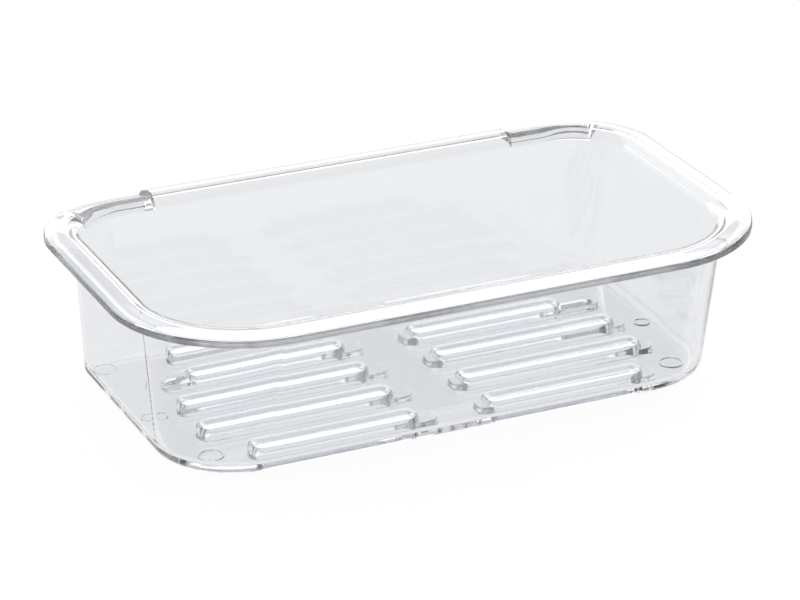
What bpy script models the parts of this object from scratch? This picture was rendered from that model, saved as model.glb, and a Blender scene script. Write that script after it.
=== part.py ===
"""A clear moulded soap dish: one piece of polystyrene, modelled as the moulder would draw it.

Metres, +Z up. The origin lies on the surface that the dish rests on, under the middle of the rim.
X runs along the dish, and +Y points to its back, the side that hangs against a wall.
"""
import math
from collections import namedtuple

import bmesh
import bpy
from mathutils import Matrix

# Rim: a flange with a low crown, bent a little down to its edge, right round the opening
RIM_LENGTH = 0.1600
RIM_DEPTH = 0.0964
RIM_FRONT_RADIUS = 0.0324
RIM_BACK_RADIUS = 0.0225
RIM_UNDERSIDE_HEIGHT = 0.0377
RIM_UNDERSIDE_RISE = 0.0008
RIM_EDGE_THICKNESS = 0.0018
RIM_EDGE_ROUND = 0.0003
RIM_OVERHANG = 0.0068
CROWN_RISE = 0.0009
CROWN_INSET = 0.0062
MOUTH_FILLET = 0.0026
RIM_ROOT_FILLET = 0.0008

# Walls and floor: the front leans in most, the back hardly at all
WALL_THICKNESS = 0.0020
FLOOR_THICKNESS = 0.0020
FLOOR_END_SETBACK = 0.0101
FLOOR_FRONT_SETBACK = 0.0144
FLOOR_BACK_SETBACK = 0.0081
FLOOR_FRONT_RADIUS = 0.0200
FLOOR_BACK_RADIUS = 0.0080
BASE_FILLET = 0.0012
FLOOR_FILLET = 0.0016

# Drainage ribs: five rows in two groups, hollow from below.
# Their low plinths are mirror images, and the bars sit a little to the left on them
RIB_ROWS = 5
RIB_WIDTH = 0.0070
RIB_HEIGHT = 0.0034
RIB_TOP_ROUND = 0.0005
RIB_CROWN_DROP = 0.0004
RIB_CROWN_FLAT = 0.0006
RIB_CROWN_END_INSET = 0.0003
RIB_DRAFT_DEGREES = 4.0
RIB_END_RADIUS = 0.0030
RIB_FRONT_SETBACK = 0.0036
RIB_BACK_SETBACK = 0.0061
RIB_END_SETBACK = 0.0109
RIB_GROUP_GAP = 0.0104
FRONT_RIB_CUTBACK = 0.0070
BACK_RIB_CUTBACK = 0.0062
BAR_SHIFT = 0.0014
CORE_WALL = 0.0014
CORE_ROOF = 0.0015

# Low plinths under the bars, which show as steps at the bars' ends
STEP_HEIGHT = 0.0015
STEP_TOP_ROUND = 0.0006
STEP_SIDE_INSET = 0.0001
STEP_CORNER_RADIUS = 0.0028
INNER_STEP_LENGTH = 0.0032
OUTER_STEP_LENGTH = 0.0016
LONG_STEP_LENGTH = 0.0090
LONG_STEP_ROW = 3
STEP_CORE_SIDE_INSET = 0.0003

# Hanger recesses: channels in the back of the rim, round both back corners
RECESS_STRAIGHT_LENGTH = 0.0083
RECESS_WIDTH = 0.0062
RECESS_DEPTH = 0.0021
RECESS_END_SLOPE = 0.0020
RECESS_CORNER_DEGREES = 39.0

# Pads under the recesses, which keep the flange thick enough there
PAD_DEPTH = 0.0015
PAD_OVERLAP = 0.0006
PAD_EDGE_INSET = 0.0006
PAD_WALL_OVERLAP = 0.0010
PAD_START_MARGIN = 0.0015
PAD_CORNER_MARGIN_DEGREES = 4.0

# Round ejector marks, a little proud of the floor
MARK_HEIGHT = 0.0004
LARGE_MARK_RADIUS = 0.0030
MEDIUM_MARK_RADIUS = 0.0022
SMALL_MARK_RADIUS = 0.0015
LARGE_MARK_FRONT_INSET_X = 0.0105
LARGE_MARK_FRONT_INSET_Y = 0.0108
LARGE_MARK_BACK_INSET_X = 0.0058
LARGE_MARK_BACK_INSET_Y = 0.0091
MEDIUM_MARK_INSET_X = 0.0060
MEDIUM_MARK_SETBACK = 0.0350
SMALL_MARK_INSET_X = 0.0260

# Fineness of the mesh
CORNER_STEPS = 10
FILLET_STEPS = 3
CROWN_STEPS = 4
RIB_CORNER_STEPS = 4
RIB_CROWN_STEPS = 2
RIB_CROWN_CORNER_SHARE = 0.9
MARK_STEPS = 16
OVERRUN = 0.0010
SHARP_EDGE_DEGREES = 32.0

Outline = namedtuple("Outline", "half_length front back front_radius back_radius")


def clear_scene():
    for old in list(bpy.data.objects):
        bpy.data.objects.remove(old)


def clear_plastic():
    """Water-clear polystyrene, polished by the mould."""
    material = bpy.data.materials.new("clear_polystyrene")
    material.use_nodes = True
    shader = material.node_tree.nodes["Principled BSDF"]
    shader.inputs["Base Color"].default_value = (0.90, 0.91, 0.94, 1.0)
    shader.inputs["Roughness"].default_value = 0.05
    shader.inputs["Metallic"].default_value = 0.0
    shader.inputs["IOR"].default_value = 1.59
    shader.inputs["Transmission Weight"].default_value = 0.9
    return material


def inset(outline, distance):
    """The same rounded rectangle, drawn in by a distance on every side."""
    return Outline(
        outline.half_length - distance,
        outline.front + distance,
        outline.back - distance,
        outline.front_radius - distance,
        outline.back_radius - distance,
    )


def between(low, high, share):
    """The outline at a share of the way from a low outline to a high one."""
    return Outline(*(a + (b - a) * share for a, b in zip(low, high)))


def corner_arc(centre_x, centre_y, radius, first_degrees, steps):
    """A quarter circle of points, counter-clockwise from its first angle."""
    points = []
    for step in range(steps + 1):
        angle = math.radians(first_degrees + 90.0 * step / steps)
        points.append((centre_x + radius * math.cos(angle), centre_y + radius * math.sin(angle)))
    return points


def outline_points(outline):
    """The outline's points, counter-clockwise from the right end, seen from above."""
    half, front, back, front_radius, back_radius = outline
    steps = CORNER_STEPS
    points = corner_arc(half - back_radius, back - back_radius, back_radius, 0.0, steps)
    points += corner_arc(-half + back_radius, back - back_radius, back_radius, 90.0, steps)
    points += corner_arc(-half + front_radius, front + front_radius, front_radius, 180.0, steps)
    points += corner_arc(half - front_radius, front + front_radius, front_radius, 270.0, steps)
    return points


def add_loft(mesh, rings):
    """A closed body through rings of points, from its lowest ring round to its last."""
    loops = [[mesh.verts.new(point) for point in ring] for ring in rings]
    count = len(loops[0])
    for lower, upper in zip(loops, loops[1:]):
        for index in range(count):
            following = (index + 1) % count
            mesh.faces.new((lower[index], lower[following], upper[following], upper[index]))
    mesh.faces.new(list(reversed(loops[0])))
    mesh.faces.new(loops[-1])


def new_object(name, mesh):
    data = bpy.data.meshes.new(name)
    mesh.to_mesh(data)
    mesh.free()
    made = bpy.data.objects.new(name, data)
    bpy.context.scene.collection.objects.link(made)
    return made


def as_tool(made):
    """A body that only shapes the dish: left out of the model itself."""
    made.hide_render = True
    made.display_type = "WIRE"
    return made


def rim_outline():
    return Outline(
        RIM_LENGTH / 2, -RIM_DEPTH / 2, RIM_DEPTH / 2, RIM_FRONT_RADIUS, RIM_BACK_RADIUS
    )


def floor_outline():
    return Outline(
        RIM_LENGTH / 2 - FLOOR_END_SETBACK,
        -RIM_DEPTH / 2 + FLOOR_FRONT_SETBACK,
        RIM_DEPTH / 2 - FLOOR_BACK_SETBACK,
        FLOOR_FRONT_RADIUS,
        FLOOR_BACK_RADIUS,
    )


def wall_outline(height):
    """The outer face of the walls at a height above the surface that the dish rests on."""
    wall_top = inset(rim_outline(), RIM_OVERHANG)
    return between(floor_outline(), wall_top, height / (RIM_UNDERSIDE_HEIGHT + RIM_UNDERSIDE_RISE))


def tray_profile():
    """The dish's section as (outline, height) pairs: up the outside, over the rim, down the inside."""
    rim = rim_outline()
    edge_height = RIM_UNDERSIDE_HEIGHT + RIM_EDGE_THICKNESS
    crest_height = edge_height + CROWN_RISE
    root_height = RIM_UNDERSIDE_HEIGHT + RIM_UNDERSIDE_RISE
    profile = []
    for step in range(FILLET_STEPS + 1):
        turn = math.radians(90.0 * step / FILLET_STEPS)
        height = BASE_FILLET * (1 - math.cos(turn))
        profile.append((inset(wall_outline(height), BASE_FILLET * (1 - math.sin(turn))), height))
    for step in range(FILLET_STEPS + 1):
        turn = math.radians(90.0 * step / FILLET_STEPS)
        height = root_height - RIM_ROOT_FILLET * (1 - math.sin(turn))
        outward = RIM_ROOT_FILLET * (1 - math.cos(turn))
        profile.append((inset(wall_outline(height), -outward), height))
    profile.append((inset(rim, RIM_EDGE_ROUND), RIM_UNDERSIDE_HEIGHT))
    profile.append((rim, RIM_UNDERSIDE_HEIGHT + RIM_EDGE_ROUND))
    profile.append((rim, edge_height - RIM_EDGE_ROUND))
    for step in range(CROWN_STEPS + 1):
        share = step / CROWN_STEPS
        inward = RIM_EDGE_ROUND + (CROWN_INSET - RIM_EDGE_ROUND) * share
        profile.append((inset(rim, inward), edge_height + CROWN_RISE * math.sin(share * math.pi / 2)))
    for step in range(1, FILLET_STEPS + 2):
        turn = math.radians(90.0 * step / (FILLET_STEPS + 1))
        inward = CROWN_INSET + (RIM_OVERHANG + WALL_THICKNESS - CROWN_INSET) * math.sin(turn)
        profile.append((inset(rim, inward), crest_height - MOUTH_FILLET * (1 - math.cos(turn))))
    for step in range(FILLET_STEPS + 1):
        turn = math.radians(90.0 * step / FILLET_STEPS)
        height = FLOOR_THICKNESS + FLOOR_FILLET * (1 - math.sin(turn))
        inward = WALL_THICKNESS + FLOOR_FILLET * (1 - math.cos(turn))
        profile.append((inset(wall_outline(height), inward), height))
    return profile


def make_tray():
    mesh = bmesh.new()
    rings = []
    for outline, height in tray_profile():
        rings.append([(x, y, height) for x, y in outline_points(outline)])
    add_loft(mesh, rings)
    return new_object("dish_body", mesh)


def rib_ring(near, far, front, back, radius, height, side):
    """One level of a rib: near and far are its ends' distances from the dish's middle line."""
    steps = RIB_CORNER_STEPS
    points = corner_arc(far - radius, back - radius, radius, 0.0, steps)
    points += corner_arc(near + radius, back - radius, radius, 90.0, steps)
    points += corner_arc(near + radius, front + radius, radius, 180.0, steps)
    points += corner_arc(far - radius, front + radius, radius, 270.0, steps)
    if side < 0:
        points = [(-x, y) for x, y in reversed(points)]
    return [(x, y, height) for x, y in points]


def rib_pitch():
    """The rows spread evenly over the floor's depth."""
    floor = floor_outline()
    first = floor.front + RIB_FRONT_SETBACK
    last = floor.back - RIB_BACK_SETBACK - RIB_WIDTH
    return (last - first) / (RIB_ROWS - 1)


def rib_front(row):
    """The front face of a row at the floor, counted from the front."""
    return floor_outline().front + RIB_FRONT_SETBACK + rib_pitch() * row


def rib_reach(row):
    """How far a row's plinth reaches from the middle line: less at the rounded corners."""
    reach = floor_outline().half_length - RIB_END_SETBACK
    if row == 0:
        return reach - FRONT_RIB_CUTBACK
    if row == RIB_ROWS - 1:
        return reach - BACK_RIB_CUTBACK
    return reach


def bar_ends(row, side):
    """The ends of a row's full-height bar, which sits a little to the left on its plinth."""
    near = RIB_GROUP_GAP / 2 + INNER_STEP_LENGTH
    far = rib_reach(row) - (LONG_STEP_LENGTH if row == LONG_STEP_ROW else OUTER_STEP_LENGTH)
    return near - side * BAR_SHIFT, far - side * BAR_SHIFT


def side_lean():
    return math.tan(math.radians(RIB_DRAFT_DEGREES))


def rounded_levels(foot, shoulder, top_round):
    """(height, drawn in) pairs up a drafted side and over its rounded top edge."""
    levels = [(foot, 0.0)]
    drawn_in = (shoulder - foot) * side_lean()
    for step in range(FILLET_STEPS + 1):
        turn = math.radians(90.0 * step / FILLET_STEPS)
        levels.append((shoulder + top_round * math.sin(turn), drawn_in + top_round * (1 - math.cos(turn))))
    return levels


def add_bar(mesh, row, side):
    """The full-height bar: drafted sides, a rounded top edge and a top crowned across its width."""
    near, far = bar_ends(row, side)
    front = rib_front(row)
    back = front + RIB_WIDTH
    top = FLOOR_THICKNESS + RIB_HEIGHT
    shoulder = top - RIB_CROWN_DROP - RIB_TOP_ROUND
    rings = []
    for height, drawn_in in rounded_levels(FLOOR_THICKNESS / 2, shoulder, RIB_TOP_ROUND):
        rings.append(
            rib_ring(
                near + drawn_in, far - drawn_in, front + drawn_in, back - drawn_in,
                RIB_END_RADIUS - drawn_in, height, side,
            )
        )
    full = RIB_WIDTH / 2 - drawn_in
    flat = RIB_CROWN_FLAT / 2
    middle = (front + back) / 2
    for step in range(1, RIB_CROWN_STEPS + 1):
        share = step / RIB_CROWN_STEPS
        half_width = full + (flat - full) * share
        end_inset = drawn_in + RIB_CROWN_END_INSET * share
        height = top - RIB_CROWN_DROP * (1 - share) ** 2
        radius = min(RIB_END_RADIUS - end_inset, half_width * RIB_CROWN_CORNER_SHARE)
        rings.append(
            rib_ring(
                near + end_inset, far - end_inset, middle - half_width, middle + half_width,
                radius, height, side,
            )
        )
    add_loft(mesh, rings)


def add_step(mesh, row, side):
    """The low plinth under a bar, which shows as a step beyond the bar's ends."""
    front = rib_front(row) + STEP_SIDE_INSET
    back = front + RIB_WIDTH - STEP_SIDE_INSET * 2
    near = RIB_GROUP_GAP / 2
    far = rib_reach(row)
    shoulder = FLOOR_THICKNESS + STEP_HEIGHT - STEP_TOP_ROUND
    rings = []
    for height, drawn_in in rounded_levels(FLOOR_THICKNESS / 3, shoulder, STEP_TOP_ROUND):
        rings.append(
            rib_ring(
                near + drawn_in, far - drawn_in, front + drawn_in, back - drawn_in,
                STEP_CORNER_RADIUS - drawn_in, height, side,
            )
        )
    add_loft(mesh, rings)


def add_hollow(mesh, near, far, row, side, roof, narrowed):
    """A hollow, open at the underside of the dish, whose ends lie a wall's thickness inside near and far."""
    front = rib_front(row) + CORE_WALL + narrowed
    back = rib_front(row) + RIB_WIDTH - CORE_WALL - narrowed
    rings = []
    for height in (-OVERRUN, roof):
        drawn_in = (height + OVERRUN) * side_lean()
        rings.append(
            rib_ring(
                near + CORE_WALL + drawn_in, far - CORE_WALL - drawn_in, front + drawn_in, back - drawn_in,
                RIB_END_RADIUS - CORE_WALL - drawn_in, height, side,
            )
        )
    add_loft(mesh, rings)


def add_core(mesh, row, side):
    """The hollow under a bar."""
    near, far = bar_ends(row, side)
    add_hollow(mesh, near, far, row, side, FLOOR_THICKNESS + RIB_HEIGHT - CORE_ROOF, 0.0)


def add_step_core(mesh, row, side):
    """The shallower hollow under the long step, which runs on from the one under the bar."""
    if row == LONG_STEP_ROW:
        far_bar = bar_ends(row, side)[1]
        roof = FLOOR_THICKNESS + STEP_HEIGHT - CORE_ROOF
        add_hollow(mesh, far_bar - RIB_WIDTH, rib_reach(row), row, side, roof, STEP_CORE_SIDE_INSET)


def make_rib_tool(name, add_shape):
    """One tool object with a shape for every row of both groups."""
    mesh = bmesh.new()
    for row in range(RIB_ROWS):
        for side in (-1, 1):
            add_shape(mesh, row, side)
    return as_tool(new_object(name, mesh))


def mark_places():
    """Centre and radius of each ejector mark on the right half of the floor."""
    floor = floor_outline()
    large_front = (
        floor.half_length - LARGE_MARK_FRONT_INSET_X,
        floor.front + LARGE_MARK_FRONT_INSET_Y,
        LARGE_MARK_RADIUS,
    )
    large_back = (
        floor.half_length - LARGE_MARK_BACK_INSET_X,
        floor.back - LARGE_MARK_BACK_INSET_Y,
        LARGE_MARK_RADIUS,
    )
    medium = (
        floor.half_length - MEDIUM_MARK_INSET_X,
        floor.front + MEDIUM_MARK_SETBACK,
        MEDIUM_MARK_RADIUS,
    )
    between_rows = rib_front(2) - (rib_pitch() - RIB_WIDTH) / 2
    small = (floor.half_length - SMALL_MARK_INSET_X, between_rows, SMALL_MARK_RADIUS)
    return [large_front, large_back, medium, small]


def make_marks():
    mesh = bmesh.new()
    height = FLOOR_THICKNESS / 2 + MARK_HEIGHT
    middle = FLOOR_THICKNESS / 2 + height / 2
    for centre_x, centre_y, radius in mark_places():
        for side in (-1, 1):
            bmesh.ops.create_cone(
                mesh,
                cap_ends=True,
                segments=MARK_STEPS,
                radius1=radius,
                radius2=radius,
                depth=height,
                matrix=Matrix.Translation((side * centre_x, centre_y, middle)),
            )
    return as_tool(new_object("ejector_marks", mesh))


def channel_plan(lengthened, corner_degrees, outer, inner, side):
    """A strip along the back edge and round its corner, from outer to inner in from the rim's edge."""
    rim = rim_outline()
    centre_x = rim.half_length - rim.back_radius
    centre_y = rim.back - rim.back_radius
    start = centre_x - RECESS_STRAIGHT_LENGTH - lengthened
    outer_points = [(start, rim.back - outer)]
    inner_points = [(start, rim.back - inner)]
    for step in range(CORNER_STEPS + 1):
        angle = math.radians(90.0 - corner_degrees * step / CORNER_STEPS)
        for depth, points in ((outer, outer_points), (inner, inner_points)):
            radius = rim.back_radius - depth
            points.append((centre_x + radius * math.cos(angle), centre_y + radius * math.sin(angle)))
    points = inner_points + list(reversed(outer_points))
    if side < 0:
        points = [(-x, y) for x, y in reversed(points)]
    return points


def recess_floor():
    return RIM_UNDERSIDE_HEIGHT + RIM_EDGE_THICKNESS + CROWN_RISE - RECESS_DEPTH


def make_pads():
    """The thicker places under the flange that the recesses are sunk into."""
    mesh = bmesh.new()
    corner = RECESS_CORNER_DEGREES + PAD_CORNER_MARGIN_DEGREES
    inner = RIM_OVERHANG + PAD_WALL_OVERLAP
    for side in (-1, 1):
        plan = channel_plan(PAD_START_MARGIN, corner, PAD_EDGE_INSET, inner, side)
        heights = (recess_floor() - PAD_DEPTH, recess_floor() + PAD_OVERLAP)
        add_loft(mesh, [[(x, y, height) for x, y in plan] for height in heights])
    return as_tool(new_object("recess_pads", mesh))


def make_recesses():
    """The two channels in the rim that a hanger's arms lie in."""
    mesh = bmesh.new()
    above = recess_floor() + RECESS_DEPTH + OVERRUN
    for side in (-1, 1):
        rings = []
        for height, lengthened in ((recess_floor(), 0.0), (above, RECESS_END_SLOPE)):
            plan = channel_plan(lengthened, RECESS_CORNER_DEGREES, -OVERRUN, RECESS_WIDTH, side)
            rings.append([(x, y, height) for x, y in plan])
        add_loft(mesh, rings)
    return as_tool(new_object("hanger_recesses", mesh))


def shape_with(dish, tool, operation):
    step = dish.modifiers.new(tool.name, "BOOLEAN")
    step.operation = operation
    step.solver = "EXACT"
    step.object = tool


def make_dish():
    dish = make_tray()
    shape_with(dish, make_rib_tool("rib_steps", add_step), "UNION")
    shape_with(dish, make_rib_tool("rib_bars", add_bar), "UNION")
    shape_with(dish, make_marks(), "UNION")
    shape_with(dish, make_rib_tool("rib_cores", add_core), "DIFFERENCE")
    shape_with(dish, make_rib_tool("step_cores", add_step_core), "DIFFERENCE")
    shape_with(dish, make_pads(), "UNION")
    shape_with(dish, make_recesses(), "DIFFERENCE")
    dish.data.materials.append(clear_plastic())
    dish.data.shade_smooth()
    dish.data.set_sharp_from_angle(angle=math.radians(SHARP_EDGE_DEGREES))
    return dish


clear_scene()
make_dish()
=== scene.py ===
# %% [markdown]
# # A water-clear soap dish
#
# The dish is one injection moulding of polystyrene: a tray with leaning walls, a wide rim, and ten
# hollow ribs in its floor that keep the soap out of the water. There is nothing on it but its own
# shape, so this lesson is about two things: a mesh that bends light as the real moulding does, and
# light that lets a clear thing be seen. The solid made in CAD is right in every size but faceted, and
# facets show at once in a clear material. So the dish is built once more, by the same rules, with fine
# curves, and it stands for the CAD node.

import math
from collections import namedtuple

import bmesh
import bpy
from mathutils import Matrix, Vector


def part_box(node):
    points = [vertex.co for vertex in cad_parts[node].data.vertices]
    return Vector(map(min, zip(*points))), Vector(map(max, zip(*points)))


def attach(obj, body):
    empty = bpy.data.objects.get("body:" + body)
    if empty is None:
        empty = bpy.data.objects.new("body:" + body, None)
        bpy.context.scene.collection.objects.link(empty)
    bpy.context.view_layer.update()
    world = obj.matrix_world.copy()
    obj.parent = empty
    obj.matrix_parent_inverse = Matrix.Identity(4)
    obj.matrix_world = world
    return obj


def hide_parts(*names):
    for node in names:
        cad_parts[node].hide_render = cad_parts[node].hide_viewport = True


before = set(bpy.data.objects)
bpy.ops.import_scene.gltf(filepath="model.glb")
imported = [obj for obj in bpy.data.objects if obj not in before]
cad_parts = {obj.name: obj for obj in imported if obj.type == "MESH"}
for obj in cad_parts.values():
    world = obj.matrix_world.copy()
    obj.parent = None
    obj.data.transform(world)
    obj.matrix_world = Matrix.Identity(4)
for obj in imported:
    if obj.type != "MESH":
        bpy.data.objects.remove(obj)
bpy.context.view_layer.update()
MM = 0.001
low_corner, high_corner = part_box("dish_body")
print("CAD body, lowest and highest corner in mm:", [round(c / MM, 1) for c in (*low_corner, *high_corner)])

# %% [markdown]
# ## Sizes
#
# The overall length, depth and height are read from the CAD body, so the fine mesh can't grow out of
# it. The other sizes are those of the moulding, in millimetres. A soap tray like this has walls about
# 2 mm thick, because thinner ones crack when the dish is dropped and thicker ones sink as they cool.
# Some rounds are up to a little over a millimetre wider here than in the CAD solid, because light shows
# how soft a moulded edge is.

# %% Sizes of the tray and its rim
RIM_LENGTH = high_corner.x - low_corner.x
RIM_DEPTH = high_corner.y - low_corner.y
CREST_HEIGHT = high_corner.z
RIM_FRONT_RADIUS = 32.4 * MM
RIM_BACK_RADIUS = 22.5 * MM
RIM_OVERHANG = 6.8 * MM
RIM_EDGE_THICKNESS = 1.8 * MM
RIM_EDGE_TOP_ROUND = 0.7 * MM
RIM_EDGE_FOOT_ROUND = 0.3 * MM
CROWN_RISE = 0.9 * MM
CROWN_INSET = 4.8 * MM
MOUTH_DROP = 2.8 * MM
RIM_ROOT_FILLET = 1.8 * MM
RIM_UNDERSIDE_HEIGHT = CREST_HEIGHT - CROWN_RISE - RIM_EDGE_THICKNESS
RIM_UNDERSIDE_RISE = 0.8 * MM
RIM_ROOT_HEIGHT = RIM_UNDERSIDE_HEIGHT + RIM_UNDERSIDE_RISE

WALL_THICKNESS = 2.0 * MM
FLOOR_THICKNESS = 2.0 * MM
FLOOR_END_SETBACK = 10.1 * MM
FLOOR_FRONT_SETBACK = 14.4 * MM
FLOOR_BACK_SETBACK = 8.1 * MM
FLOOR_FRONT_RADIUS = 20.0 * MM
FLOOR_BACK_RADIUS = 8.0 * MM
BASE_FILLET = 2.4 * MM
FLOOR_FILLET = 1.6 * MM

print("Rim in mm:", round(RIM_LENGTH / MM, 1), "by", round(RIM_DEPTH / MM, 1))

# %% [markdown]
# ## Rounded outlines
#
# Seen from above, every level of the tray is a rounded rectangle with wide corners in front and tight
# ones behind. One small tuple holds such an outline, and two helpers make new ones from it: drawn in by
# a distance, or part of the way to another outline, which is how the leaning walls come about. One
# function turns any rounded rectangle into points, and the ribs use it too. The number of steps in a
# curve is set by what shows: in a clear body a corner needs about thirty, and a fillet of a millimetre
# or two needs six.

# %% Points of a rounded rectangle
RIGHT_ANGLE = 90.0
CORNER_STEPS = 28
FILLET_STEPS = 6
CROWN_STEPS = 10


def quarter_turn(steps, first=0):
    """Sine and cosine at even steps through a right angle, for rounds and fillets."""
    turns = [math.radians(RIGHT_ANGLE * step / steps) for step in range(first, steps + 1)]
    return [(math.sin(turn), math.cos(turn)) for turn in turns]


def rounded_rectangle(left, right, front, back, front_radius, back_radius, steps):
    """Points counterclockwise round a rectangle, with each corner a quarter circle."""
    corners = (
        (right - back_radius, back - back_radius, back_radius),
        (left + back_radius, back - back_radius, back_radius),
        (left + front_radius, front + front_radius, front_radius),
        (right - front_radius, front + front_radius, front_radius),
    )
    points = []
    for corner, (centre_x, centre_y, radius) in enumerate(corners):
        for step in range(steps + 1):
            angle = math.radians(RIGHT_ANGLE * corner + RIGHT_ANGLE * step / steps)
            points.append((centre_x + radius * math.cos(angle), centre_y + radius * math.sin(angle)))
    return points


# %% Outlines of the tray
Outline = namedtuple("Outline", "half_length front back front_radius back_radius")

rim = Outline(RIM_LENGTH / 2, -RIM_DEPTH / 2, RIM_DEPTH / 2, RIM_FRONT_RADIUS, RIM_BACK_RADIUS)
floor_edge = Outline(
    RIM_LENGTH / 2 - FLOOR_END_SETBACK,
    -RIM_DEPTH / 2 + FLOOR_FRONT_SETBACK,
    RIM_DEPTH / 2 - FLOOR_BACK_SETBACK,
    FLOOR_FRONT_RADIUS,
    FLOOR_BACK_RADIUS,
)


def drawn_in(outline, distance):
    return Outline(
        outline.half_length - distance,
        outline.front + distance,
        outline.back - distance,
        outline.front_radius - distance,
        outline.back_radius - distance,
    )


def part_way(low, high, share):
    return Outline(*(a + (b - a) * share for a, b in zip(low, high)))


def wall_at(height):
    """The outer face of the walls at a height above the surface that the dish rests on."""
    return part_way(floor_edge, drawn_in(rim, RIM_OVERHANG), height / RIM_ROOT_HEIGHT)


def outline_points(outline):
    half, front, back, front_radius, back_radius = outline
    return rounded_rectangle(-half, half, front, back, front_radius, back_radius, CORNER_STEPS)


print("Points in one ring of the tray:", len(outline_points(rim)))

# %% [markdown]
# ## The tray
#
# A mould maker thinks of the tray as one section that travels round the opening: up the outside of the
# wall, out under the flange, over its crown, and down the inside to the floor. Here the section is a
# list of outlines with heights. Fillets are quarter circles in that list, so that no later tool has to
# round an edge.

# %% The tray's section
def tray_section():
    edge_height = RIM_UNDERSIDE_HEIGHT + RIM_EDGE_THICKNESS
    section = []
    for sine, cosine in quarter_turn(FILLET_STEPS):
        height = BASE_FILLET * (1 - cosine)
        section.append((drawn_in(wall_at(height), BASE_FILLET * (1 - sine)), height))
    for sine, cosine in quarter_turn(FILLET_STEPS):
        height = RIM_ROOT_HEIGHT - RIM_ROOT_FILLET * (1 - sine)
        section.append((drawn_in(wall_at(height), -RIM_ROOT_FILLET * (1 - cosine)), height))
    for sine, cosine in quarter_turn(FILLET_STEPS):
        height = RIM_UNDERSIDE_HEIGHT + RIM_EDGE_FOOT_ROUND * (1 - cosine)
        section.append((drawn_in(rim, RIM_EDGE_FOOT_ROUND * (1 - sine)), height))
    for sine, cosine in quarter_turn(FILLET_STEPS):
        height = edge_height - RIM_EDGE_TOP_ROUND * (1 - sine)
        section.append((drawn_in(rim, RIM_EDGE_TOP_ROUND * (1 - cosine)), height))
    for step in range(1, CROWN_STEPS + 1):
        share = step / CROWN_STEPS
        inward = RIM_EDGE_TOP_ROUND + (CROWN_INSET - RIM_EDGE_TOP_ROUND) * share
        section.append((drawn_in(rim, inward), edge_height + CROWN_RISE * math.sin(share * math.pi / 2)))
    for sine, cosine in quarter_turn(CROWN_STEPS, first=1):
        inward = CROWN_INSET + (RIM_OVERHANG + WALL_THICKNESS - CROWN_INSET) * sine
        section.append((drawn_in(rim, inward), CREST_HEIGHT - MOUTH_DROP * (1 - cosine)))
    for sine, cosine in quarter_turn(FILLET_STEPS):
        height = FLOOR_THICKNESS + FLOOR_FILLET * (1 - sine)
        inward = WALL_THICKNESS + FLOOR_FILLET * (1 - cosine)
        section.append((drawn_in(wall_at(height), inward), height))
    return section


print("Levels in the tray's section:", len(tray_section()))

# %% [markdown]
# ## Lofting
#
# A loft joins each ring of points to the next with a band of faces, and caps the first and the last
# ring. The tray could also be a solid block with a hollow cut out of it, but one loft that turns over
# the rim keeps every face a neat strip along the walls, and light runs smoothly over it.

# %% Loft the tray
def add_loft(mesh, rings):
    """A closed body through rings of points, from its lowest ring round to its last."""
    loops = [[mesh.verts.new(point) for point in ring] for ring in rings]
    count = len(loops[0])
    for lower, upper in zip(loops, loops[1:]):
        for index in range(count):
            following = (index + 1) % count
            mesh.faces.new((lower[index], lower[following], upper[following], upper[index]))
    mesh.faces.new(list(reversed(loops[0])))
    mesh.faces.new(loops[-1])


def new_object(name, mesh):
    data = bpy.data.meshes.new(name)
    mesh.to_mesh(data)
    mesh.free()
    made = bpy.data.objects.new(name, data)
    bpy.context.scene.collection.objects.link(made)
    return made


tray_mesh = bmesh.new()
tray_rings = [[(x, y, height) for x, y in outline_points(level)] for level, height in tray_section()]
add_loft(tray_mesh, tray_rings)
dish = new_object("clear_dish", tray_mesh)
print("Tray lofted:", len(dish.data.polygons), "faces")

# %% [markdown]
# ## The draining ribs
#
# Ten ribs stand in five rows and two groups. Each is hollow from below, because a thick bar of plastic
# would leave a sink mark. Each stands on a low plinth, which shows as a step at the bar's ends. The
# plinths of the two groups are mirror images, but the bars all sit a little to the left on them. The
# first and last rows are shorter, because the floor's corners are round there, and one row has a long
# low step at its outer ends.

# %% Sizes of the ribs
SIDES = (-1, 1)
RIB_ROWS = 5
RIB_WIDTH = 7.0 * MM
RIB_HEIGHT = 3.4 * MM
RIB_TOP_ROUND = 1.6 * MM
RIB_ROOT_FILLET = 0.35 * MM
RIB_CROWN_DROP = 0.2 * MM
RIB_CREST_WIDTH = 0.5 * MM
RIB_CREST_RADIUS = 0.125 * MM
RIB_DRAFT_DEGREES = 4.0
RIB_DRAFT = math.tan(math.radians(RIB_DRAFT_DEGREES))
RIB_END_RADIUS = 3.0 * MM
RIB_FRONT_SETBACK = 3.6 * MM
RIB_BACK_SETBACK = 6.1 * MM
RIB_END_SETBACK = 10.9 * MM
RIB_GROUP_GAP = 10.4 * MM
FRONT_RIB_CUTBACK = 7.0 * MM
BACK_RIB_CUTBACK = 6.2 * MM
BAR_SHIFT = 1.4 * MM
CORE_WALL = 1.0 * MM
CORE_ROOF = 1.1 * MM
CORE_ROOF_ROUND = 0.1 * MM
STEP_HEIGHT = 1.5 * MM
STEP_TOP_ROUND = 0.6 * MM
STEP_SIDE_INSET = 0.1 * MM
STEP_CORNER_RADIUS = 2.8 * MM
INNER_STEP_LENGTH = 3.2 * MM
OUTER_STEP_LENGTH = 1.6 * MM
LONG_STEP_LENGTH = 9.0 * MM
LONG_STEP_ROW = 3
STEP_CORE_SIDE_INSET = 0.3 * MM
SHORTEST_STEP = 0.5 * MM
RIB_CORNER_STEPS = 8
OVERRUN = 1.0 * MM


# %% Places of the ribs
def rib_pitch():
    first = floor_edge.front + RIB_FRONT_SETBACK
    last = floor_edge.back - RIB_BACK_SETBACK - RIB_WIDTH
    return (last - first) / (RIB_ROWS - 1)


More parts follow.
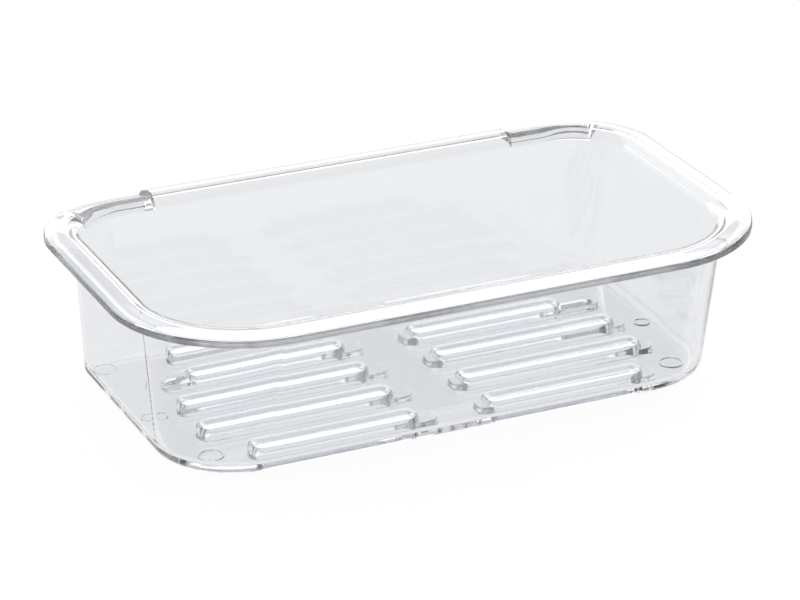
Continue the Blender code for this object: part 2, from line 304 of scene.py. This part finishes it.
def rib_front(row):
    return floor_edge.front + RIB_FRONT_SETBACK + rib_pitch() * row


def rib_reach(row):
    """How far a row's plinth reaches from the middle."""
    reach = floor_edge.half_length - RIB_END_SETBACK
    if row == 0:
        return reach - FRONT_RIB_CUTBACK
    if row == RIB_ROWS - 1:
        return reach - BACK_RIB_CUTBACK
    return reach


def bar_ends(row, side):
    """The ends of a row's bar, as distances from the middle on its own side."""
    near = RIB_GROUP_GAP / 2 + INNER_STEP_LENGTH
    far = rib_reach(row) - (LONG_STEP_LENGTH if row == LONG_STEP_ROW else OUTER_STEP_LENGTH)
    return near - side * BAR_SHIFT, far - side * BAR_SHIFT


print("Rib pitch in mm:", round(rib_pitch() / MM, 2))

# %% [markdown]
# ## Levels of a rib
#
# A rib is lofted like the tray, from small rounded rectangles. Its sides are drafted by four degrees,
# so that the mould lets go of it, with a fillet at the foot and a round at the top. Its foot starts
# inside the floor, because two solids that only touch face to face don't join cleanly. Across the top
# runs a shallow crown, which gives the soft line of light along each bar.

# %% Levels of a rib
Space = namedtuple("Space", "near far front back")


def on_side(points, side):
    """The points on the right side as they are, and on the left side mirrored, still counterclockwise."""
    return points if side > 0 else [(-x, y) for x, y in reversed(points)]


def rib_ring(space, inward, radius, height, side):
    """One level of a rib: its space seen from above, drawn in, with round corners."""
    points = rounded_rectangle(
        space.near + inward, space.far - inward, space.front + inward, space.back - inward,
        radius, radius, RIB_CORNER_STEPS,
    )
    return [(x, y, height) for x, y in on_side(points, side)]


def root_levels():
    """Heights and insets at the foot: straight from inside the floor, then a fillet up out of it."""
    levels = [(FLOOR_THICKNESS / 2, -RIB_ROOT_FILLET)]
    for sine, cosine in quarter_turn(FILLET_STEPS):
        levels.append((FLOOR_THICKNESS + RIB_ROOT_FILLET * (1 - cosine), -RIB_ROOT_FILLET * (1 - sine)))
    return levels


def rounded_levels(foot, start, top, top_round):
    """Heights and insets up a drafted side from its foot, then over a quarter round to the top."""
    shoulder = top - top_round
    lean_in = (shoulder - start) * RIB_DRAFT
    levels = list(foot)
    for sine, cosine in quarter_turn(FILLET_STEPS):
        levels.append((shoulder + top_round * sine, lean_in + top_round * (1 - cosine)))
    return levels


def crowned(ring, middle):
    """The ring let down towards the rib's sides, as far as a shallow curve across its width falls there."""
    half_width = RIB_WIDTH / 2
    return [(x, y, z - RIB_CROWN_DROP * ((y - middle) / half_width) ** 2) for x, y, z in ring]


print("Levels up a plinth:", len(rounded_levels(root_levels(), 0.0, STEP_HEIGHT, STEP_TOP_ROUND)))


# %% The bar and its plinth
def add_bar(mesh, row, side):
    front = rib_front(row)
    space = Space(*bar_ends(row, side), front, front + RIB_WIDTH)
    top = FLOOR_THICKNESS + RIB_HEIGHT
    foot = root_levels()
    levels = rounded_levels(foot, FLOOR_THICKNESS + RIB_ROOT_FILLET, top, RIB_TOP_ROUND)
    edge_inset = levels[-1][1]
    crest_inset = (RIB_WIDTH - RIB_CREST_WIDTH) / 2
    for step in range(1, CROWN_STEPS + 1):
        levels.append((top, edge_inset + (crest_inset - edge_inset) * step / CROWN_STEPS))
    rings = []
    for height, inward in levels:
        radius = max(RIB_END_RADIUS - inward, RIB_CREST_RADIUS)
        rings.append(rib_ring(space, inward, radius, height, side))
    middle = (space.front + space.back) / 2
    add_loft(mesh, rings[:len(foot)] + [crowned(ring, middle) for ring in rings[len(foot):]])


def add_step(mesh, row, side):
    """A plinth. Where it would hardly show beyond the bar, it ends just inside the bar's end instead."""
    front = rib_front(row) + STEP_SIDE_INSET
    far = rib_reach(row)
    far_bar = bar_ends(row, side)[1]
    if far - far_bar < SHORTEST_STEP:
        far = far_bar - STEP_SIDE_INSET
    space = Space(RIB_GROUP_GAP / 2, far, front, front + RIB_WIDTH - STEP_SIDE_INSET * 2)
    top = FLOOR_THICKNESS + STEP_HEIGHT
    levels = rounded_levels(root_levels(), FLOOR_THICKNESS + RIB_ROOT_FILLET, top, STEP_TOP_ROUND)
    rings = []
    for height, inward in levels:
        rings.append(rib_ring(space, inward, STEP_CORNER_RADIUS - inward, height, side))
    add_loft(mesh, rings)


# %% The hollows under them
def add_hollow(mesh, near, far, row, side, roof, narrowed):
    """A hollow open at the underside, whose ends lie a wall's thickness inside near and far."""
    front = rib_front(row) + CORE_WALL + narrowed
    back = rib_front(row) + RIB_WIDTH - CORE_WALL - narrowed
    space = Space(near + CORE_WALL, far - CORE_WALL, front, back)
    rings = []
    for height, inward in rounded_levels([(-OVERRUN, 0.0)], -OVERRUN, roof, CORE_ROOF_ROUND):
        rings.append(rib_ring(space, inward, RIB_END_RADIUS - CORE_WALL - inward, height, side))
    add_loft(mesh, rings)


def add_core(mesh, row, side):
    add_hollow(mesh, *bar_ends(row, side), row, side, FLOOR_THICKNESS + RIB_HEIGHT - CORE_ROOF, 0.0)


def add_step_core(mesh, row, side):
    """The shallower hollow under the long step, which runs on from the one under the bar."""
    if row == LONG_STEP_ROW:
        far_bar = bar_ends(row, side)[1]
        roof = FLOOR_THICKNESS + STEP_HEIGHT - CORE_ROOF
        add_hollow(mesh, far_bar - RIB_WIDTH, rib_reach(row), row, side, roof, STEP_CORE_SIDE_INSET)


# %% [markdown]
# ## Joining and cutting
#
# The ribs have to become one body with the floor: where a clear piece only overlaps another, the faces
# inside bend the light once more and show as ghosts. The exact Boolean solver makes one closed skin of
# them. All ten bars are one tool, and each step is applied at once, so that the next one works on a
# plain mesh.

# %% Join the ribs to the tray
def rib_tool(name, add_shape):
    mesh = bmesh.new()
    for row in range(RIB_ROWS):
        for side in SIDES:
            add_shape(mesh, row, side)
    return new_object(name, mesh)


def shape_with(tool, operation):
    """Applies one exact Boolean step to the dish, and removes its tool."""
    step = dish.modifiers.new(tool.name, "BOOLEAN")
    step.operation = operation
    step.solver = "EXACT"
    step.object = tool
    shaped = bpy.data.meshes.new_from_object(dish.evaluated_get(bpy.context.evaluated_depsgraph_get()))
    print(operation.lower(), "with", tool.name, "gives", len(shaped.polygons), "faces")
    dish.modifiers.clear()
    dish.data = shaped
    bpy.data.objects.remove(tool)


shape_with(rib_tool("rib_steps", add_step), "UNION")
shape_with(rib_tool("rib_bars", add_bar), "UNION")

# %% [markdown]
# ## Ejector marks
#
# Pins push the warm moulding out of its mould, and each leaves a round mark on the floor. It is a few
# tenths of a millimetre proud, with a narrow lip round a shallow dip. Large marks stand near the
# corners, and smaller ones between the ribs. Each has its twin on the other side of the middle. The
# hollows under the ribs are cut after them.

# %% Sizes and places of the ejector marks
MARK_HEIGHT = 0.4 * MM
MARK_ROUND = 0.12 * MM
MARK_LIP_WIDTH = 0.5 * MM
MARK_DIP = 0.25 * MM
LARGE_MARK_RADIUS = 3.0 * MM
MEDIUM_MARK_RADIUS = 2.2 * MM
SMALL_MARK_RADIUS = 1.5 * MM
FRONT_MARK_END_SETBACK = 10.5 * MM
FRONT_MARK_SETBACK = 10.8 * MM
BACK_MARK_END_SETBACK = 5.8 * MM
BACK_MARK_SETBACK = 9.1 * MM
SIDE_MARK_END_SETBACK = 6.0 * MM
SIDE_MARK_SETBACK = 35.0 * MM
SMALL_MARK_END_SETBACK = 26.0 * MM
ROW_BEHIND_SMALL_MARK = 2
MARK_STEPS = 48
small_mark_place = rib_front(ROW_BEHIND_SMALL_MARK) - (rib_pitch() - RIB_WIDTH) / 2
mark_places = [
    (FRONT_MARK_END_SETBACK, floor_edge.front + FRONT_MARK_SETBACK, LARGE_MARK_RADIUS),
    (BACK_MARK_END_SETBACK, floor_edge.back - BACK_MARK_SETBACK, LARGE_MARK_RADIUS),
    (SIDE_MARK_END_SETBACK, floor_edge.front + SIDE_MARK_SETBACK, MEDIUM_MARK_RADIUS),
    (SMALL_MARK_END_SETBACK, small_mark_place, SMALL_MARK_RADIUS),
]


# %% Ejector marks and hollows
def circle_ring(centre_x, centre_y, radius, height):
    ring = []
    for step in range(MARK_STEPS):
        angle = 2 * math.pi * step / MARK_STEPS
        ring.append((centre_x + radius * math.cos(angle), centre_y + radius * math.sin(angle), height))
    return ring


def mark_levels(radius):
    """Radii and heights up the outside of a mark, over its lip and down into its dip."""
    top = FLOOR_THICKNESS + MARK_HEIGHT
    dip_radius = radius - MARK_LIP_WIDTH
    levels = [(radius, FLOOR_THICKNESS / 2)]
    for sine, cosine in quarter_turn(FILLET_STEPS):
        levels.append((radius - MARK_ROUND * (1 - cosine), top - MARK_ROUND * (1 - sine)))
    levels.append((dip_radius + MARK_ROUND, top))
    levels.append((dip_radius, top - MARK_ROUND))
    levels.append((dip_radius - MARK_ROUND, top - MARK_DIP))
    return levels


def ejector_marks():
    mesh = bmesh.new()
    for end_setback, centre_y, radius in mark_places:
        for side in SIDES:
            centre_x = side * (floor_edge.half_length - end_setback)
            add_loft(mesh, [circle_ring(centre_x, centre_y, *level) for level in mark_levels(radius)])
    return new_object("ejector_marks", mesh)


shape_with(ejector_marks(), "UNION")
shape_with(rib_tool("rib_cores", add_core), "DIFFERENCE")
shape_with(rib_tool("step_cores", add_step_core), "DIFFERENCE")

# %% [markdown]
# ## Hanger recesses
#
# The dish hangs by its back corners. Two channels in the rim start beside the middle and follow the rim
# round each back corner, and the arms of a wall holder lie in them. Each channel is a loft of its plan,
# cut out of the crown, with a slope at its inner end. A pad under the flange keeps the plastic thick
# enough below it.

# %% Sizes of the hanger recesses
RECESS_STRAIGHT_LENGTH = 8.3 * MM
RECESS_WIDTH = 6.2 * MM
RECESS_DEPTH = 2.1 * MM
RECESS_END_SLOPE = 2.0 * MM
RECESS_CORNER_DEGREES = 39.0
RECESS_FLOOR_HEIGHT = CREST_HEIGHT - RECESS_DEPTH
PAD_DEPTH = 1.5 * MM
PAD_OVERLAP = 0.6 * MM
PAD_EDGE_INSET = 0.6 * MM
PAD_WALL_OVERLAP = 1.0 * MM
PAD_START_MARGIN = 1.5 * MM
PAD_CORNER_MARGIN_DEGREES = 4.0
PAD_ROUND = 0.4 * MM
PAD_CORNER_DEGREES = RECESS_CORNER_DEGREES + PAD_CORNER_MARGIN_DEGREES


# %% Hanger recesses
def channel_plan(lengthened, corner_degrees, outer, inner, side):
    """A strip along the back edge and round its corner, from outer to inner in from the rim's edge."""
    centre_x = rim.half_length - rim.back_radius
    centre_y = rim.back - rim.back_radius
    start = centre_x - RECESS_STRAIGHT_LENGTH - lengthened
    outer_points = [(start, rim.back - outer)]
    inner_points = [(start, rim.back - inner)]
    for step in range(CORNER_STEPS + 1):
        angle = math.radians(RIGHT_ANGLE - corner_degrees * step / CORNER_STEPS)
        for depth, points in ((outer, outer_points), (inner, inner_points)):
            radius = rim.back_radius - depth
            points.append((centre_x + radius * math.cos(angle), centre_y + radius * math.sin(angle)))
    return on_side(inner_points + list(reversed(outer_points)), side)


def recess_pads():
    """The pads, from a rounded foot up into the flange."""
    mesh = bmesh.new()
    foot = RECESS_FLOOR_HEIGHT - PAD_DEPTH
    inner = RIM_OVERHANG + PAD_WALL_OVERLAP
    for side in SIDES:
        rings = []
        for sine, cosine in quarter_turn(FILLET_STEPS):
            inward = PAD_ROUND * (1 - sine)
            corner = PAD_CORNER_DEGREES - math.degrees(inward / rim.back_radius)
            plan = channel_plan(PAD_START_MARGIN - inward, corner, PAD_EDGE_INSET + inward, inner, side)
            rings.append([(x, y, foot + PAD_ROUND * (1 - cosine)) for x, y in plan])
        rings.append([(x, y, RECESS_FLOOR_HEIGHT + PAD_OVERLAP) for x, y in plan])
        add_loft(mesh, rings)
    return new_object("recess_pads", mesh)


def hanger_recesses():
    mesh = bmesh.new()
    for side in SIDES:
        rings = []
        for height, lengthened in ((RECESS_FLOOR_HEIGHT, 0.0), (CREST_HEIGHT + OVERRUN, RECESS_END_SLOPE)):
            plan = channel_plan(lengthened, RECESS_CORNER_DEGREES, -OVERRUN, RECESS_WIDTH, side)
            rings.append([(x, y, height) for x, y in plan])
        add_loft(mesh, rings)
    return new_object("hanger_recesses", mesh)


shape_with(recess_pads(), "UNION")
shape_with(hanger_recesses(), "DIFFERENCE")

# %% [markdown]
# ## Shading the mesh
#
# A clear body shows its normals more than any other, since light is bent by them twice. Smooth shading
# alone would tilt the normals of the flat floor and walls towards their fillets. Sharp edges are marked
# where two faces meet at a real corner, and the Weighted Normal modifier lets each large flat face keep
# its own normal.

# %% Smooth shading with weighted normals
SHARP_EDGE_DEGREES = 32.0
dish.data.shade_smooth()
dish.data.set_sharp_from_angle(angle=math.radians(SHARP_EDGE_DEGREES))
weighted = dish.modifiers.new("flat_faces_stay_flat", "WEIGHTED_NORMAL")
weighted.keep_sharp = True
print("Sharp edges:", sum(edge.use_edge_sharp for edge in dish.data.edges), "of", len(dish.data.edges))

# %% [markdown]
# ## Helpers for materials
#
# Colours are written as sRGB hex values, as a designer reads them off a chart, while Blender calculates
# with linear ones, so one function turns the first into the second. Another adds a node together with
# its settings, its values and its links, which keeps each material short enough to read at a glance.

# %% Material helpers
def linear(hex_colour):
    """An sRGB hex colour as linear values, by the curve of the sRGB standard."""
    channels = []
    for place in (0, 2, 4):
        value = int(hex_colour[place:place + 2], 16) / 255
        channels.append(value / 12.92 if value <= 0.04045 else ((value + 0.055) / 1.055) ** 2.4)
    return (*channels, 1.0)


def add_node(owner, kind, settings=None, values=None, links=None):
    """Adds a node with its settings, its plain socket values, and links from other nodes' outputs."""
    node = owner.node_tree.nodes.new(kind)
    for name, value in (settings or {}).items():
        setattr(node, name, value)
    for socket, value in (values or {}).items():
        node.inputs[socket].default_value = value
    for socket, source in (links or {}).items():
        owner.node_tree.links.new(source, node.inputs[socket])
    return node


def new_material(name):
    material = bpy.data.materials.new(name)
    material.use_nodes = True
    material.node_tree.nodes.clear()
    return material


print("Mid grey, sRGB to linear:", round(linear("808080")[0], 3))

# %% [markdown]
# ## Polystyrene
#
# General-purpose polystyrene is the usual plastic for clear bathroom trays: stiff, cheap, and as clear
# as glass. It bends light more than glass or acrylic does, with an IOR of 1.59, and that gives the
# strong bright and dark lines at its edges. Each wall takes a little of the light with a trace of blue
# left over, which is the surface's tint. Light that runs lengthwise in the plastic loses more, which is
# the absorption, so the edges of the rim look darker than its faces.
#
# The moulding's surface is a print of its polished steel mould. The polish has hardly any roughness,
# but it is never quite even, and the plastic sinks by a hundredth of a millimetre or two as it cools.
# Both are faint noises here: one in the roughness, with patches under a centimetre, and one in the
# normals, in waves of about two centimetres. They take the computed look off the large walls.

# %% Clear polystyrene
POLYSTYRENE_IOR = 1.59
POLYSTYRENE_TINT = "F7F8FA"
POLYSTYRENE_TRANSMISSION = 1.0
ABSORPTION_DENSITY = 8.0
ABSORPTION_COLOUR = "00102E"
POLISH_PATTERN = 9.0 * MM
POLISH_ROUGHNESS = (0.014, 0.028)
SINK_PATTERN = 22.0 * MM
SINK_DEPTH = 0.02 * MM
SINK_DETAIL = 0.0

clear_polystyrene = new_material("clear_polystyrene")
places = add_node(clear_polystyrene, "ShaderNodeTexCoord").outputs["Object"]
polish_noise = add_node(
    clear_polystyrene, "ShaderNodeTexNoise", values={"Scale": 1 / POLISH_PATTERN}, links={"Vector": places}
)
polish = add_node(
    clear_polystyrene, "ShaderNodeMapRange",
    values={"To Min": POLISH_ROUGHNESS[0], "To Max": POLISH_ROUGHNESS[1]},
    links={"Value": polish_noise.outputs["Fac"]},
)
sink_noise = add_node(
    clear_polystyrene, "ShaderNodeTexNoise", values={"Scale": 1 / SINK_PATTERN, "Detail": SINK_DETAIL},
    links={"Vector": places},
)
sinks = add_node(
    clear_polystyrene, "ShaderNodeBump", values={"Distance": SINK_DEPTH},
    links={"Height": sink_noise.outputs["Fac"]},
)
shader = add_node(
    clear_polystyrene,
    "ShaderNodeBsdfPrincipled",
    values={
        "Base Color": linear(POLYSTYRENE_TINT),
        "IOR": POLYSTYRENE_IOR,
        "Transmission Weight": POLYSTYRENE_TRANSMISSION,
    },
    links={"Roughness": polish.outputs["Result"], "Normal": sinks.outputs["Normal"]},
)
absorption = add_node(
    clear_polystyrene, "ShaderNodeVolumeAbsorption",
    values={"Color": linear(ABSORPTION_COLOUR), "Density": ABSORPTION_DENSITY},
)
add_node(
    clear_polystyrene, "ShaderNodeOutputMaterial",
    links={"Surface": shader.outputs["BSDF"], "Volume": absorption.outputs["Volume"]},
)
dish.data.materials.clear()
dish.data.materials.append(clear_polystyrene)
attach(dish, "root")
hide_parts("dish_body")
print("Dish in", clear_polystyrene.name, "with an IOR of", POLYSTYRENE_IOR)

# %% [markdown]
# ## White paper
#
# The dish stands on a white sweep that runs out of the picture on all sides. A clear thing shows what
# lies behind it, but more lamps on the paper would wash the dish out. So the paper glows for the rays
# that come from the camera, straight or by way of the plastic. Light Path tells those rays from all
# others. Seen through the plastic or mirrored in it, the paper glows less than it does seen straight.
# This is painted shade, which greys the paper under and behind the dish. Only a small share of its
# white comes from the studio's light, and that share keeps the soft shadow under the dish.

# %% White paper
PAPER_HALF_SIZE = 2.5
PAPER_GAP = 0.05 * MM
PAPER_SHADE = 0.15
PAPER_GLOW = 0.93
# Painted shade: the paper glows less for rays that pass through the plastic or are mirrored in it than for
# rays straight from the camera.
PAPER_GLOW_WITH_PAINTED_SHADE = 0.84

paper_mesh = bmesh.new()
bmesh.ops.create_grid(paper_mesh, x_segments=1, y_segments=1, size=PAPER_HALF_SIZE)
paper = new_object("studio_floor", paper_mesh)
paper.location.z = -PAPER_GAP

white_paper = new_material("white_paper")
paths = add_node(white_paper, "ShaderNodeLightPath")
by_plastic = add_node(
    white_paper, "ShaderNodeMath", {"operation": "MAXIMUM"},
    links={0: paths.outputs["Is Glossy Ray"], 1: paths.outputs["Is Transmission Ray"]},
)
direct_glow = add_node(
    white_paper, "ShaderNodeMath", {"operation": "MULTIPLY"}, {1: PAPER_GLOW},
    {0: paths.outputs["Is Camera Ray"]},
)
glow_strength = add_node(
    white_paper, "ShaderNodeMath", {"operation": "MULTIPLY_ADD"}, {1: PAPER_GLOW_WITH_PAINTED_SHADE},
    {0: by_plastic.outputs[0], 2: direct_glow.outputs[0]},
)
glow = add_node(white_paper, "ShaderNodeEmission", links={"Strength": glow_strength.outputs[0]})
shade = add_node(
    white_paper, "ShaderNodeBsdfDiffuse", values={"Color": (PAPER_SHADE, PAPER_SHADE, PAPER_SHADE, 1.0)}
)
glow_and_shade = add_node(
    white_paper, "ShaderNodeAddShader", links={0: shade.outputs[0], 1: glow.outputs[0]}
)
add_node(white_paper, "ShaderNodeOutputMaterial", links={"Surface": glow_and_shade.outputs[0]})
paper.data.materials.append(white_paper)
print("Paper laid:", PAPER_HALF_SIZE * 2, "m square")

# %% [markdown]
# ## Light for a clear thing
#
# Clear plastic has next to no colour of its own that a lamp could bring out. What is seen of it is the
# paper through it and the studio mirrored in it, so the studio is built as one world of soft areas. It
# is dim on the camera's side. That dimness, together with the painted shade of the paper seen through
# the plastic, leaves the walls light grey against the paper. Behind the dish stand two wide panels, one
# above the other, with a gap between them. The flat floor mirrors the gap and stays calm, while the
# rounded rim and the crowns of the ribs lean away from it and catch one panel or the other.

# %% Studio light
CAMERA_TURN_DEGREES = 24.1
FRONT_LIGHT = 0.40
BACK_LIGHT = 0.75
LOW_PANEL_LIGHT = 1.9
HIGH_PANEL_LIGHT = 0.9
LOW_PANEL_DEGREES = (1.0, 5.0, 21.5, 23.5)
HIGH_PANEL_DEGREES = (27.0, 31.0, 58.0, 66.0)
FRONT_TO_BACK = (-0.5, 0.2)
PANEL_SIDES = (0.45, 0.60)

camera_turn = math.radians(CAMERA_TURN_DEGREES)
away_from_camera = (math.sin(camera_turn), math.cos(camera_turn), 0.0)
world = bpy.data.worlds.new("studio")
bpy.context.scene.world = world
world.use_nodes = True
world.node_tree.nodes.clear()


def ramp(source, low, high, start=0.0, end=1.0):
    """A smooth ramp from start to end while the source goes from low to high."""
    return add_node(
        world, "ShaderNodeMapRange", {"interpolation_type": "SMOOTHSTEP"},
        {"From Min": low, "From Max": high, "To Min": start, "To Max": end}, {"Value": source},
    ).outputs[0]


def combine(operation, first, second):
    return add_node(
        world, "ShaderNodeMath", {"operation": operation}, links={0: first, 1: second}
    ).outputs[0]


def panel(degrees, light):
    """A band of light that fades in between the first two elevations and out between the last two."""
    foot, full_from, full_to, head = (math.sin(math.radians(elevation)) for elevation in degrees)
    return combine("MULTIPLY", ramp(rise, foot, full_from, 0.0, light), ramp(rise, full_to, head, 1.0, 0.0))


direction = add_node(world, "ShaderNodeTexCoord").outputs["Generated"]
rise = add_node(world, "ShaderNodeSeparateXYZ", links={0: direction}).outputs["Z"]
backward = add_node(
    world, "ShaderNodeVectorMath", {"operation": "DOT_PRODUCT"}, {1: away_from_camera}, {0: direction}
).outputs["Value"]
room = ramp(backward, *FRONT_TO_BACK, FRONT_LIGHT, BACK_LIGHT)
both_panels = combine(
    "ADD", panel(LOW_PANEL_DEGREES, LOW_PANEL_LIGHT), panel(HIGH_PANEL_DEGREES, HIGH_PANEL_LIGHT)
)
studio_light = combine("ADD", room, combine("MULTIPLY", ramp(backward, *PANEL_SIDES), both_panels))
background = add_node(world, "ShaderNodeBackground", links={"Strength": studio_light})
add_node(world, "ShaderNodeOutputWorld", links={"Surface": background.outputs[0]})
print("Studio: panels at elevations", LOW_PANEL_DEGREES, "and", HIGH_PANEL_DEGREES)

# %% [markdown]
# ## Camera
#
# The product is shown from a little to the left of its front and from above, so that the ribs can be
# seen through the front wall and the clean inside of the back wall over the rim. A long lens from
# nearly a metre away keeps the rim's long edges almost parallel, as in a catalogue picture.

# %% Camera
CAMERA_TILT_DEGREES = 23.64
CAMERA_ROLL_DEGREES = -0.52
CAMERA_DISTANCE = 902.0 * MM
CAMERA_TARGET = Vector((17.5 * MM, 42.7 * MM, 0.0))
CAMERA_CLIP_START = 10.0 * MM
SENSOR_WIDTH = 36.0
CAMERA_LENS = 160.8

tilt = math.radians(CAMERA_TILT_DEGREES)
roll = math.radians(CAMERA_ROLL_DEGREES)
looking = Vector((
    math.sin(camera_turn) * math.cos(tilt),
    math.cos(camera_turn) * math.cos(tilt),
    -math.sin(tilt),
))
right = Vector((math.cos(camera_turn), -math.sin(camera_turn), 0.0))
up = right.cross(looking)
rolled_right = right * math.cos(roll) + up * math.sin(roll)
rolled_up = up * math.cos(roll) - right * math.sin(roll)
camera_data = bpy.data.cameras.new("camera")
camera_data.sensor_width = SENSOR_WIDTH
camera_data.lens = CAMERA_LENS
camera_data.clip_start = CAMERA_CLIP_START
camera = bpy.data.objects.new("camera", camera_data)
bpy.context.scene.collection.objects.link(camera)
facing = Matrix((rolled_right, rolled_up, -looking)).transposed().to_4x4()
facing.translation = CAMERA_TARGET - looking * CAMERA_DISTANCE
camera.matrix_world = facing
bpy.context.scene.camera = camera
bpy.context.scene.view_settings.view_transform = "Standard"
print("Camera in mm:", [round(c / MM, 1) for c in facing.translation])

# %% [markdown]
# ## Light bounces
#
# Inside the rim and the walls light runs on by total reflection, dozens of times before it finds a way
# out. Where a renderer gives up sooner, it leaves black lines along the edges that no real dish has. So
# each ray may be followed further than usual.

# %% Light bounces
LIGHT_BOUNCES = 64
cycles = bpy.context.scene.cycles
cycles.max_bounces = LIGHT_BOUNCES
cycles.transmission_bounces = LIGHT_BOUNCES
cycles.glossy_bounces = LIGHT_BOUNCES
print("Bounces for each ray:", LIGHT_BOUNCES)
